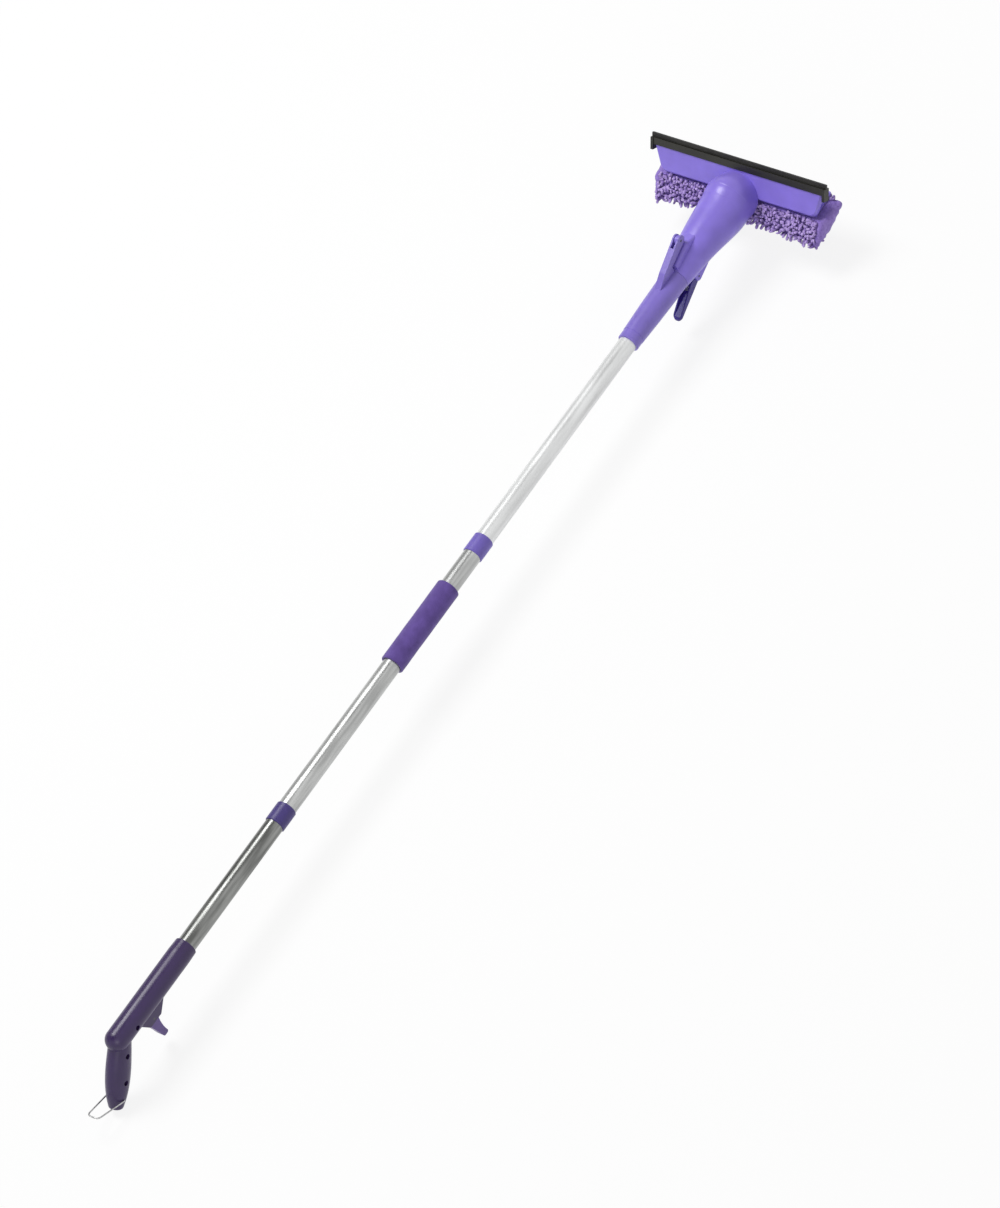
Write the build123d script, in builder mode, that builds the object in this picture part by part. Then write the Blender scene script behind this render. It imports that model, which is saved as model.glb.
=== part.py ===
# Window scrubber: a pistol handle, a pole of three tubes, and a folding head with a squeegee and a pad.
#
# Axes: +X along the blade, +Y along the pole towards the head, +Z to the back of the tool, away from the
# trigger, the latch lever and the pad. The pieces are drawn from the handle's mouth, on the pole's axis, and
# are written with the origin under the middle of the whole tool. All lengths are millimetres.
from build123d import *
import math
import os

# Clearances and cuts
fit_gap = 0.05
part_gap = 0.3
soft_gap = 0.3
overrun = 4.0

# Pole tubes, with the bare stretch of each that shows
tube_diameter = 22.0
tube_wall = 0.8
lower_stretch = 175.5
middle_stretch = 377.0
upper_stretch = 302.5

# Couplers: a collar with a threaded socket below, and a stud in the tube above
collar_diameter = 24.4
collar_length = 25.0
collar_web = 2.0
collar_edge = 0.8
plug_length = 30.0
thread_diameter = 14.0
stud_bore = 6.0

# Foam grip on the middle tube
foam_diameter = 29.0
foam_length = 117.0
foam_start = 412.0
foam_round = 2.5

# Handle
sleeve_diameter = 27.5
sleeve_mouth_diameter = 26.4
sleeve_taper_length = 14.0
shell_wall = 2.4
sleeve_length = 134.0
tube_seat = 56.0
stop_length = 2.0
stop_diameter = 19.0
grip_angle = 54.0
grip_length = 84.0
grip_forward = 5.0
grip_round = 3.0
grip_hollow_share = 0.72
grip_station_shares = (0.0, 0.22, 0.36, 0.57, 0.8, 1.0)
grip_half_width_shares = (0.94, 0.98, 1.0, 1.0, 0.9, 0.62)
grip_half_depth_shares = (0.84, 0.95, 1.0, 0.99, 0.8, 0.5)
grip_width = 25.6
grip_depth = 31.4

# Handle screws: along the sleeve from its mouth, or down the grip from the bend, and off that line
screw_boss_diameter = 7.0
screw_shank_diameter = 2.9
screw_head_diameter = 5.4
screw_head_height = 2.0
screw_length = 14.0
screw_head_level = 6.0
screw_recess_diameter = 6.2
sleeve_screw_place = 112.0
grip_screw_places = (18.0, 50.0)

# Trigger, its pod under the sleeve, and the release gate that it draws down
trigger_pivot_back = 84.5
trigger_pivot_drop = 23.5
trigger_pin_diameter = 3.0
trigger_width = 9.0
trigger_boss_diameter = 9.0
trigger_travel = 8.0
trigger_nose_reach = 12.0
trigger_nose_front = 12.6
trigger_nose_length = 8.0
trigger_nose_gap = 0.8
trigger_nose_depth = 3.5
trigger_arm_back = 3.5
trigger_blade_drop = 36.5
trigger_blade_front = 8.3
trigger_blade_hollow = 6.6
trigger_tip_front = 9.9
trigger_tip_back = 1.6
trigger_tip_round = 2.6
trigger_heel_back = 8.0
trigger_heel_drop = 5.5
pod_wall = 1.8
pod_front = 54.5
pod_hollow_front = 68.0
pod_back = 108.0
pod_low_front = 73.6
pod_low_back = 94.0
pod_drop = 28.0
stem_diameter = 10.0
groove_diameter = 7.0
groove_length = 3.0
stem_length = 12.6
stem_tip = 2.0
plug_depth = 26.0
gate_thickness = 2.4
gate_width = 13.0
gate_top = 8.9
gate_bottom = 5.6
gate_foot_length = 7.5
gate_foot_width = 6.0
gate_foot_thickness = 1.5
gate_spring_diameter = 4.4
gate_spring_wire = 0.4
gate_spring_turns = 5

# Wire hanging loop
wire_diameter = 1.8
loop_place = 71.0
loop_width = 24.8
loop_neck_width = 15.0
loop_length = 40.5
loop_bend = 5.0
loop_corner = 1.7
loop_hold = 5.5
loop_rise = 19.5

# Pole connector with its hinge arm and locking tongue
connector_mouth_diameter = 26.4
connector_waist_diameter = 30.0
connector_end_diameter = 32.0
connector_length = 102.7
connector_ring_length = 12.0
connector_waist_place = 48.0
connector_seat = 50.0
connector_wall = 3.0
connector_web = 4.5
connector_edge = 0.8
rivet_place = 30.0
rivet_diameter = 3.2
rivet_head_diameter = 6.0
rivet_head_height = 1.0
rivet_bite = 1.5
hinge_place = 128.7
hinge_height = 39.0
hinge_pin_diameter = 3.0
hinge_arm_width = 8.4
hinge_arm_diameter = 13.0
hinge_lug_width = 3.6
arm_root_back = 62.0
arm_root_height = 12.0
arm_shoulder_back = 41.0
arm_shoulder_height = 26.0
arm_under_back = 27.0
arm_under_height = 22.6
arm_under_angle = 30.0
tongue_width = 8.0
tongue_thickness = 3.0
tongue_drop = 8.0
tongue_reach = 35.3
tooth_depth = 1.8
tooth_length = 3.0

# Head neck: round sections by distance from its rear rim, and the dome that meets the blade plate
neck_gap = 0.3
neck_places = (0.0, 39.0, 67.0, 97.0, 118.6)
neck_diameters = (32.4, 43.4, 51.0, 58.4, 61.0)
neck_rises = (0.0, 4.0, 4.2, 3.0, 6.2)
neck_wall = 2.5
dome_step = 0.5
saddle_width = 15.0
saddle_gap = 1.4
saddle_back = 2.0
saddle_front = 24.0
saddle_round = 3.0
hinge_lug_diameter = 11.0
hinge_slot_back = 13.5
head_screw_places = (66.0, 103.0)
head_screw_half_spacings = (13.0, 17.0)
head_screw_boss_diameter = 7.5
head_screw_length = 16.0
head_screw_depth = 8.0

# Blade plate, measured on its own plane: across the pole, up the plate and out of its face
plate_tilt = 60.8
blade_place = 258.0
blade_height = 39.0
plate_thickness = 5.0
plate_top_width = 243.0
plate_side_taper = 10.5
plate_top_drop = 11.6
plate_bottom_drop = 45.0
plate_corner = 12.0
plate_bevel = 2.6
channel_top_drop = 5.0
channel_bottom_drop = 13.5
channel_lip = 1.2
rubber_overhang = 3.5
rubber_thickness = 2.6
rubber_root_drop = 9.8
rubber_root_height = 2.4
rubber_root_thickness = 5.0
cap_width = 3.6
cap_bottom_drop = 20.5
cap_lip = 0.8

# Scrub pad and its frame, with the corners of the pad's section up the plate and out of its face
pad_overhang = 5.5
pad_pile = 7.0
pad_end_pile = 6.0
pad_cloth = 1.2
pad_front_top = (-47.0, -1.0)
pad_front_low = (-82.0, 10.5)
pad_scrub_low = (-88.0, 0.0)
pad_back_low = (-36.0, -42.0)
pad_back_top = (-26.0, -36.0)
pad_inner_top = (-47.0, -8.0)
pad_crown = 4.0
pad_round = 4.0
pad_end_round = 3.0
pad_end_slant = 6.8
pad_room = 0.6
frame_inset = 13.5
frame_thickness = 3.0
frame_flange_top_drop = 14.2
frame_rib_thickness = 2.5
frame_rib_insets = (58.0, 12.0)
frame_screw_insets = (80.0, 32.0)
frame_screw_drop = 17.2
frame_screw_shank_diameter = 2.9
frame_screw_head_diameter = 5.6
frame_screw_head_height = 2.0
frame_screw_bite = 3.4

# Latch lever under the neck, with its lugs, pin and spring
latch_place = 26.0
latch_drop = 23.0
latch_pin_diameter = 2.6
latch_lug_diameter = 11.0
latch_lug_thickness = 2.0
latch_lug_base = 22.0
latch_fairing_reach = 34.0
latch_fairing_rise = 6.0
lever_width = 12.0
lever_skin = 2.6
lever_rim = 1.5
lever_boss_diameter = 9.0
lever_length = 50.0
lever_fall = 27.0
lever_rim_back = 14.0
lever_tip_round = 5.0
lever_seat_level = 31.5
nose_width = 7.0
nose_back = 1.0
nose_front = 6.5
nose_height = 8.5
nose_slot_length = 18.0
nose_slot_forward = 6.0
latch_spring_back = 17.0
latch_spring_diameter = 5.0
latch_spring_wire = 0.35
latch_spring_turns = 5
spring_seat_diameter = 7.5
spring_seat_drop = 18.6

# Worked out from the sizes above
tube_radius = tube_diameter / 2
tube_bore = tube_diameter - 2 * tube_wall
sleeve_radius = sleeve_diameter / 2
lower_collar = lower_stretch
middle_start = lower_collar + collar_length
upper_collar = middle_start + middle_stretch
upper_start = upper_collar + collar_length
mouth = upper_start + upper_stretch
connector_end = mouth + connector_length
hinge_y = mouth + hinge_place
neck_start = connector_end + neck_gap
dome_diameter = neck_diameters[-1] - dome_step
latch_y = neck_start + latch_place
pin_length = trigger_width + 2 * (part_gap + pod_wall)
plate_bottom_width = plate_top_width - 2 * plate_side_taper
channel_length = plate_top_width
rubber_length = channel_length + 2 * rubber_overhang
pad_length = plate_top_width + 2 * pad_overhang
frame_width = plate_top_width - 2 * frame_inset

grip_line = Vector(0, -math.cos(math.radians(grip_angle)), -math.sin(math.radians(grip_angle)))
grip_front = Vector(0, -grip_line.Z, grip_line.Y)
grip_start = Vector(0, -sleeve_length, 0) + grip_front * grip_forward
plate_up = Vector(0, math.cos(math.radians(plate_tilt)), math.sin(math.radians(plate_tilt)))
plate_out = Vector(0, -math.sin(math.radians(plate_tilt)), math.cos(math.radians(plate_tilt)))
blade_middle = Vector(0, mouth + blade_place, blade_height)
blade_plane = Plane(origin=blade_middle, x_dir=(1, 0, 0), z_dir=plate_out)
blade_side = Plane(origin=blade_middle, x_dir=plate_up, z_dir=(1, 0, 0))


def across(y, z=0):
    """A plane square to the pole at y, centred at z, facing the head."""
    return Plane(origin=(0, y, z), x_dir=(1, 0, 0), z_dir=(0, 1, 0))


def down_grip(length):
    """A plane square to the grip's axis, facing its end."""
    return Plane(origin=grip_start + grip_line * length, x_dir=(1, 0, 0), z_dir=grip_line)


def turned(profile):
    """A solid of revolution about the pole's axis, from (radius, place along the pole) points."""
    with BuildPart() as piece:
        with BuildSketch(Plane.XY):
            with BuildLine():
                Polyline(*profile, close=True)
            make_face()
        revolve(axis=Axis.Y)
    return piece.part


def coil(radius, wire, height, turns, foot):
    """A compression spring standing on foot, one unbroken wire."""
    with BuildPart() as piece:
        with BuildLine():
            path = Helix(pitch=height / turns, height=height, radius=radius, center=foot)
        with BuildSketch(Plane(origin=path @ 0, z_dir=path % 0)):
            Circle(wire / 2)
        sweep(path=path)
    return piece.part


pieces = {}


# Tubes
def tube(start, end):
    with BuildPart() as piece:
        with BuildSketch(across(start)):
            Circle(tube_radius)
            Circle(tube_bore / 2, mode=Mode.SUBTRACT)
        extrude(amount=end - start)
    return piece.part


seat_depth = (collar_length - collar_web) / 2
pieces["lower_tube"] = tube(-tube_seat, lower_collar + seat_depth)
pieces["middle_tube"] = tube(middle_start - seat_depth, upper_collar + seat_depth)
pieces["upper_tube"] = tube(upper_start - seat_depth, mouth + connector_seat)

with BuildPart() as tube_holes:
    with BuildSketch(Plane.XY.offset(-tube_radius - overrun)):
        with Locations((0, mouth + rivet_place)):
            Circle(rivet_diameter / 2 + fit_gap)
    extrude(amount=tube_radius + overrun)
pieces["upper_tube"] = pieces["upper_tube"] - tube_holes.part


# Couplers
def coupler_socket(start):
    """The collar that shows, a web between the two tubes, and a threaded plug glued in the lower tube."""
    web_start = start + seat_depth
    web_end = web_start + collar_web
    seat = tube_radius + fit_gap
    outer = collar_diameter / 2
    plug = tube_bore / 2 - fit_gap
    bore = thread_diameter / 2
    return turned([(bore, web_start - plug_length), (plug, web_start - plug_length), (plug, web_start),
                   (seat, web_start), (seat, start), (outer - collar_edge, start),
                   (outer, start + collar_edge), (outer, start + collar_length - collar_edge),
                   (outer - collar_edge, start + collar_length),
                   (seat, start + collar_length), (seat, web_end), (bore, web_end)])


def coupler_stud(start):
    """The plug glued in the upper tube, with the threaded stud that screws down into the socket."""
    web_end = start + seat_depth + collar_web
    plug = tube_bore / 2 - fit_gap
    stud = thread_diameter / 2 - fit_gap
    bore = stud_bore / 2
    stud_tip = web_end - collar_web - plug_length
    return turned([(bore, stud_tip), (stud, stud_tip), (stud, web_end), (plug, web_end),
                   (plug, web_end + plug_length), (bore, web_end + plug_length)])


for name, start in (("lower", lower_collar), ("upper", upper_collar)):
    pieces[name + "_coupler_socket"] = coupler_socket(start)
    pieces[name + "_coupler_stud"] = coupler_stud(start)

# Foam grip
with BuildPart() as foam:
    with BuildSketch(across(foam_start)):
        Circle(foam_diameter / 2)
        Circle(tube_radius + soft_gap, mode=Mode.SUBTRACT)
    extrude(amount=foam_length)
    fillet(foam.edges().filter_by(GeomType.CIRCLE).group_by(SortBy.RADIUS)[-1], foam_round)
pieces["foam_grip"] = foam.part


# Handle: the outer shape and its hollow, cut into left and right shells
def grip_body(inset, length):
    """The oval grip, lofted from the bend, drawn in by inset."""
    with BuildPart() as piece:
        for station, wide, deep in zip(grip_station_shares, grip_half_width_shares, grip_half_depth_shares):
            with BuildSketch(down_grip(station * length)):
                Ellipse(wide * grip_width / 2 - inset, deep * grip_depth / 2 - inset)
        loft()
    return piece.part


def pod_block(front, wall, drop, width):
    """The pod under the sleeve, or its hollow where wall draws its sides in."""
    with BuildPart() as piece:
        with BuildSketch(Plane.YZ):
            with BuildLine():
                Polyline((-front, -sleeve_radius / 2), (-pod_low_front - wall, -drop),
                         (-pod_low_back + wall, -drop), (-pod_back + 2 * wall, -sleeve_radius / 2),
                         close=True)
            make_face()
        extrude(amount=width / 2, both=True)
    return piece.part


with BuildPart() as handle_outer:
    add(turned([(0, 0), (sleeve_mouth_diameter / 2, 0), (sleeve_radius, -sleeve_taper_length),
                (sleeve_radius, -sleeve_length), (0, -sleeve_length)]))
    with Locations((0, -sleeve_length, 0)):
        Sphere(sleeve_radius)
    add(grip_body(0, grip_length))
    fillet(handle_outer.faces().sort_by(Axis.Z)[0].edges(), grip_round)
    add(pod_block(pod_front, 0, pod_drop, pin_length))

with BuildPart() as handle_hollow:
    add(turned([(0, overrun), (tube_radius + fit_gap, overrun), (tube_radius + fit_gap, -tube_seat),
                (stop_diameter / 2, -tube_seat), (stop_diameter / 2, -tube_seat - stop_length),
                (sleeve_radius - shell_wall, -tube_seat - stop_length),
                (sleeve_radius - shell_wall, -sleeve_length), (0, -sleeve_length)]))
    with Locations((0, -sleeve_length, 0)):
        Sphere(sleeve_radius - shell_wall)
    add(grip_body(shell_wall, grip_length * grip_hollow_share))
    add(pod_block(pod_hollow_front, pod_wall, pod_drop + overrun, trigger_width + 2 * part_gap))

screw_points = [Vector(0, -sleeve_screw_place, 0)]
screw_points += [grip_start + grip_line * place for place in grip_screw_places]


def along_x(points, diameter, start, end):
    """Cylinders along X from start to end, one at each point."""
    with BuildPart() as piece:
        with BuildSketch(Plane.YZ.offset(start)):
            with Locations(*[(point.Y, point.Z) for point in points]):
                Circle(diameter / 2)
        extrude(amount=end - start)
    return piece.part


pivot_point = Vector(0, -trigger_pivot_back, -trigger_pivot_drop)
loop_point = grip_start + grip_line * loop_place

with BuildPart() as handle_bosses:
    add(along_x(screw_points, screw_boss_diameter, -grip_width, grip_width))
    add(handle_outer.part, mode=Mode.INTERSECT)

with BuildPart() as handle_body:
    add(handle_outer.part)
    add(handle_hollow.part, mode=Mode.SUBTRACT)
    add(handle_bosses.part)
    add(along_x(screw_points, screw_shank_diameter + 2 * fit_gap, -screw_length, screw_head_level + overrun),
        mode=Mode.SUBTRACT)
    add(along_x(screw_points, screw_recess_diameter, screw_head_level - screw_head_height, grip_width),
        mode=Mode.SUBTRACT)
    add(along_x([pivot_point], trigger_pin_diameter + 2 * fit_gap, -grip_width, grip_width),
        mode=Mode.SUBTRACT)
    for start, end in ((loop_hold - fit_gap, grip_width), (-grip_width, fit_gap - loop_hold)):
        add(along_x([loop_point], wire_diameter + 2 * fit_gap, start, end), mode=Mode.SUBTRACT)

for name, side in (("handle_shell_right", Keep.TOP), ("handle_shell_left", Keep.BOTTOM)):
    with BuildPart() as shell:
        add(handle_body.part)
        split(bisect_by=Plane.YZ, keep=side)
    pieces[name] = shell.part

with BuildPart() as handle_screws:
    add(along_x(screw_points, screw_shank_diameter, screw_head_level - screw_head_height - screw_length,
                screw_head_level - screw_head_height))
    add(along_x(screw_points, screw_head_diameter, screw_head_level - screw_head_height, screw_head_level))
pieces["handle_screws"] = handle_screws.part
pieces["trigger_pin"] = along_x([pivot_point], trigger_pin_diameter, -pin_length / 2, pin_length / 2)

# Tube plug: glued in the lower tube, with a grooved stem that the release gate holds
plug_radius = tube_bore / 2 - fit_gap
stem_radius = stem_diameter / 2
groove_start = -tube_seat - stem_length + stem_tip + groove_length
pieces["tube_plug"] = turned([(0, -tube_seat + plug_depth), (plug_radius, -tube_seat + plug_depth),
                              (plug_radius, -tube_seat), (stem_radius, -tube_seat),
                              (stem_radius, groove_start), (groove_diameter / 2, groove_start),
                              (groove_diameter / 2, groove_start - groove_length),
                              (stem_radius, groove_start - groove_length),
                              (stem_radius, -tube_seat - stem_length), (0, -tube_seat - stem_length)])

# Release gate: a keyhole plate across the stem, with a foot that the trigger's nose hooks
gate_middle = groove_start - groove_length / 2
gate_front = gate_middle + gate_thickness / 2
gate_back = gate_front - gate_thickness
gate_travel = trigger_nose_reach * math.radians(trigger_travel)
with BuildPart() as gate:
    with BuildSketch(across(gate_back)):
        with Locations((0, (gate_bottom - gate_top) / 2)):
            Rectangle(gate_width, gate_top + gate_bottom)
        Circle(groove_diameter / 2 + part_gap, mode=Mode.SUBTRACT)
        with Locations((0, -gate_travel)):
            Circle(stem_radius + part_gap, mode=Mode.SUBTRACT)
    extrude(amount=gate_thickness)
    with BuildSketch(Plane.XY.offset(-gate_bottom)):
        with Locations((0, gate_back - gate_foot_length / 2 + gate_thickness / 2)):
            Rectangle(gate_foot_width, gate_foot_length + gate_thickness)
    extrude(amount=-gate_foot_thickness)
pieces["release_gate"] = gate.part

gate_spring_outer = (gate_spring_diameter + gate_spring_wire) / 2
gate_floor = -math.sqrt((sleeve_radius - shell_wall) ** 2 - gate_spring_outer ** 2)
gate_spring_height = -gate_bottom - gate_foot_thickness - gate_floor - gate_spring_wire - 2 * fit_gap
gate_spring_foot = (0, gate_middle, gate_floor + gate_spring_wire / 2 + fit_gap)
pieces["gate_spring"] = coil(gate_spring_diameter / 2, gate_spring_wire, gate_spring_height,
                             gate_spring_turns, gate_spring_foot)

# Trigger: a finger blade below its pivot, and an arm above it whose nose hooks the gate's foot
def ahead(forward, up):
    """A side-view point measured from the trigger's pivot."""
    return (pivot_point.Y + forward, pivot_point.Z + up)


nose_low = trigger_pivot_drop - gate_bottom + trigger_nose_gap
nose_high = nose_low + trigger_nose_depth
with BuildPart() as trigger:
    with BuildSketch(Plane.YZ):
        with Locations(ahead(0, 0)):
            Circle(trigger_boss_diameter / 2)
        with BuildLine():
            Polyline(ahead(trigger_blade_front, 0), ahead(-trigger_heel_back, 0),
                     ahead(-trigger_heel_back, -trigger_heel_drop),
                     ahead(trigger_tip_back, -trigger_blade_drop),
                     ahead(trigger_tip_front, -trigger_blade_drop))
            ThreePointArc(ahead(trigger_tip_front, -trigger_blade_drop),
                          ahead(trigger_blade_hollow, -trigger_blade_drop / 2), ahead(trigger_blade_front, 0))
        make_face()
        with BuildLine():
            Polyline(ahead(-trigger_arm_back, 0), ahead(-trigger_arm_back, nose_high),
                     ahead(trigger_nose_front, nose_high), ahead(trigger_nose_front, nose_low),
                     ahead(trigger_nose_front - trigger_nose_length, nose_low),
                     ahead(trigger_boss_diameter / 2, 0),
                     close=True)
        make_face()
    extrude(amount=trigger_width / 2, both=True)
    tip_corners = trigger.edges().filter_by(Axis.X).sort_by(Axis.Z)[:2]
    fillet(tip_corners, trigger_tip_round)
    add(along_x([pivot_point], trigger_pin_diameter + 2 * fit_gap, -trigger_width, trigger_width),
        mode=Mode.SUBTRACT)
pieces["trigger"] = trigger.part


# Wire hanging loop, from one flank of the grip round to the other
loop_out = Vector(0, -math.cos(math.radians(loop_rise)), math.sin(math.radians(loop_rise)))
loop_plane = Plane(origin=loop_point, x_dir=(1, 0, 0), z_dir=Vector(1, 0, 0).cross(loop_out))
with BuildPart() as loop:
    with BuildLine(loop_plane):
        half = loop_width / 2
        path = FilletPolyline((loop_hold, 0), (half, 0), (loop_neck_width / 2, loop_length),
                              (-loop_neck_width / 2, loop_length), (-half, 0), (-loop_hold, 0),
                              radius=(loop_corner, loop_bend, loop_bend, loop_corner))
    with BuildSketch(Plane(origin=path @ 0, z_dir=path % 0)):
        Circle(wire_diameter / 2)
    sweep(path=path)
pieces["hang_loop"] = loop.part


# Pole connector: sleeve, hinge arm and locking tongue
def side_block(points, width):
    """A block of that width about the middle, from its side outline."""
    with BuildPart() as piece:
        with BuildSketch(Plane.YZ):
            with BuildLine():
                Polyline(*points, close=True)
            make_face()
        extrude(amount=width / 2, both=True)
    return piece.part


def along_z(points, diameter, start, end):
    """Cylinders along Z from start to end, one at each (across, along) point."""
    with BuildPart() as piece:
        with BuildSketch(Plane.XY.offset(start)):
            with Locations(*points):
                Circle(diameter / 2)
        extrude(amount=end - start)
    return piece.part


hinge_point = Vector(0, hinge_y, hinge_height)
arm_radius = hinge_arm_diameter / 2
under_end = (hinge_y + arm_radius * math.sin(math.radians(arm_under_angle)),
             hinge_height - arm_radius * math.cos(math.radians(arm_under_angle)))
under_slope = (under_end[1] - arm_under_height) / (under_end[0] - hinge_y + arm_under_back)
waist_y = mouth + connector_waist_place
ring_y = mouth + connector_ring_length
mouth_radius = connector_mouth_diameter / 2
seat_end = mouth + connector_seat
web_start = connector_end - connector_web
rivet_points = [(0, mouth + rivet_place)]
tongue_end = connector_end + tongue_reach
tongue_low = -tongue_drop - tongue_thickness
with BuildPart() as connector:
    add(turned([(0, mouth), (mouth_radius - connector_edge, mouth), (mouth_radius, mouth + connector_edge),
                (mouth_radius, ring_y), (mouth_radius + connector_edge / 2, ring_y),
                (connector_waist_diameter / 2, waist_y), (connector_end_diameter / 2, connector_end),
                (0, connector_end)]))
    with BuildSketch(Plane.YZ):
        with BuildLine():
            Polyline((hinge_y - arm_root_back, 0), (hinge_y - arm_root_back, arm_root_height),
                     (hinge_y - arm_shoulder_back, arm_shoulder_height),
                     (hinge_y - arm_radius / math.sqrt(2), hinge_height + arm_radius / math.sqrt(2)),
                     under_end, (hinge_y - arm_under_back, arm_under_height), (hinge_y - arm_under_back, 0),
                     close=True)
        make_face()
        with Locations((hinge_y, hinge_height)):
            Circle(arm_radius)
    extrude(amount=hinge_arm_width / 2, both=True)
    add(turned([(0, mouth), (tube_radius + fit_gap, mouth), (tube_radius + fit_gap, seat_end),
                (tube_radius - connector_edge, seat_end),
                (connector_end_diameter / 2 - connector_wall, web_start), (0, web_start)]),
        mode=Mode.SUBTRACT)
    add(side_block([(connector_end - connector_web, tongue_low), (tongue_end, tongue_low),
                    (tongue_end, -tongue_drop), (connector_end - connector_web, -tongue_drop)], tongue_width))
    add(side_block([(tongue_end - tooth_length, tongue_low), (tongue_end, tongue_low - tooth_depth),
                    (tongue_end, tongue_low)], tongue_width))
    add(side_block([(hinge_y - hinge_slot_back, hinge_height - hinge_arm_diameter - overrun),
                    (hinge_y + hinge_arm_diameter, hinge_height - hinge_arm_diameter - overrun),
                    (hinge_y + hinge_arm_diameter, hinge_height + hinge_arm_diameter),
                    (hinge_y - hinge_slot_back, hinge_height + hinge_arm_diameter)],
                   hinge_lug_width + 2 * part_gap), mode=Mode.SUBTRACT)
    add(along_x([hinge_point], hinge_pin_diameter + 2 * fit_gap, -hinge_arm_width, hinge_arm_width),
        mode=Mode.SUBTRACT)
    add(along_z(rivet_points, rivet_diameter + 2 * fit_gap, -mouth_radius - overrun, 0), mode=Mode.SUBTRACT)
    add(along_z(rivet_points, rivet_head_diameter + 2 * part_gap, -mouth_radius - overrun, -mouth_radius),
        mode=Mode.SUBTRACT)
pieces["pole_connector"] = connector.part
pieces["hinge_pin"] = along_x([hinge_point], hinge_pin_diameter, -hinge_arm_width / 2, hinge_arm_width / 2)

with BuildPart() as rivet:
    add(along_z(rivet_points, rivet_diameter, -mouth_radius, rivet_bite - tube_bore / 2))
    add(along_z(rivet_points, rivet_head_diameter, -mouth_radius - rivet_head_height, -mouth_radius))
pieces["connector_rivet"] = rivet.part


# Scrub pad's outer shape, a wedge with a crowned scrubbing face
low_run = Vector(*pad_back_low) - Vector(*pad_scrub_low)
low_middle = (Vector(*pad_back_low) + Vector(*pad_scrub_low)) / 2
crown_point = low_middle + Vector(low_run.Y, -low_run.X).normalized() * pad_crown
pad_back_corner = blade_middle + plate_up * pad_back_low[0] + plate_out * pad_back_low[1]
low_edge = -(plate_up * low_run.X + plate_out * low_run.Y).normalized()
slant_run = low_edge * math.tan(math.radians(pad_end_slant))


def end_cut(side, half_length):
    """A slanted plane at one end of the pad, which leaves its low edge the shorter."""
    return Plane(origin=pad_back_corner + Vector(side * half_length, 0, 0),
                 z_dir=Vector(side, 0, 0) + slant_run)


def pad_body(growth, half_length):
    """The wedge along the blade, as long as twice half_length, grown all round in section."""
    with BuildPart() as piece:
        with BuildSketch(blade_side.offset(-half_length - overrun)) as outline:
            with BuildLine():
                Polyline(pad_back_low, pad_back_top, pad_inner_top, pad_front_top, pad_front_low,
                         pad_scrub_low)
                ThreePointArc(pad_scrub_low, (crown_point.X, crown_point.Y), pad_back_low)
            make_face()
            corners = outline.vertices().sort_by(Axis.X)
            fillet(corners[:2] + corners[-2:], pad_round)
            offset(amount=growth)
        extrude(amount=2 * (half_length + overrun))
        split(bisect_by=end_cut(1, half_length), keep=Keep.BOTTOM)
        split(bisect_by=end_cut(-1, half_length), keep=Keep.BOTTOM)
    return piece.part


# Head neck: a growing round body that ends in a dome on the blade plate, hollow, in two shells
dome_middle = Vector(0, neck_start + neck_places[-1], neck_rises[-1])
dome_lift = (dome_middle - blade_middle).dot(plate_out)
dome_foot = dome_middle - plate_out * dome_lift


def neck_body(inset, lead):
    """The neck drawn in by inset, starting lead before its rear rim."""
    with BuildPart() as piece:
        with BuildSketch(across(neck_start - lead)):
            Circle(neck_diameters[0] / 2 - inset)
        for place, diameter, rise in zip(neck_places[1:], neck_diameters[1:], neck_rises[1:]):
            with BuildSketch(across(neck_start + place, rise)):
                Circle(diameter / 2 - inset)
        loft()
        with BuildSketch(Plane(origin=dome_foot, x_dir=(1, 0, 0), z_dir=plate_out)):
            Circle(dome_diameter / 2 - inset)
        extrude(amount=dome_lift)
        with Locations(dome_middle):
            Sphere(dome_diameter / 2 - inset)
        split(bisect_by=blade_plane.offset(inset), keep=Keep.TOP)
    return piece.part


saddle_y = neck_start + saddle_back
saddle_top = arm_under_height + under_slope * (saddle_y - hinge_y + arm_under_back) - saddle_gap
saddle_peak = under_end[1] - saddle_gap
lug_radius = hinge_lug_diameter / 2
neck_top = neck_rises[1] + neck_diameters[1] / 2
with BuildPart() as saddle:
    add(side_block([(saddle_y, 0), (saddle_y, saddle_top), (under_end[0], saddle_peak),
                    (hinge_y + saddle_front, neck_top), (hinge_y + saddle_front, 0)], saddle_width))
    fillet(saddle.edges().filter_by(Axis.X, reverse=True).group_by(Axis.Z)[-1] +
           saddle.edges().filter_by(Axis.X, reverse=True).group_by(Axis.Z)[-2], saddle_round)
    with BuildSketch(Plane.YZ):
        with Locations((hinge_y, hinge_height)):
            Circle(lug_radius)
        with BuildLine():
            Polyline((hinge_y - lug_radius, hinge_height), (hinge_y - lug_radius * 2, 0),
                     (hinge_y + lug_radius * 2, 0), (hinge_y + lug_radius, hinge_height), close=True)
        make_face()
    extrude(amount=hinge_lug_width / 2, both=True)

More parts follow.
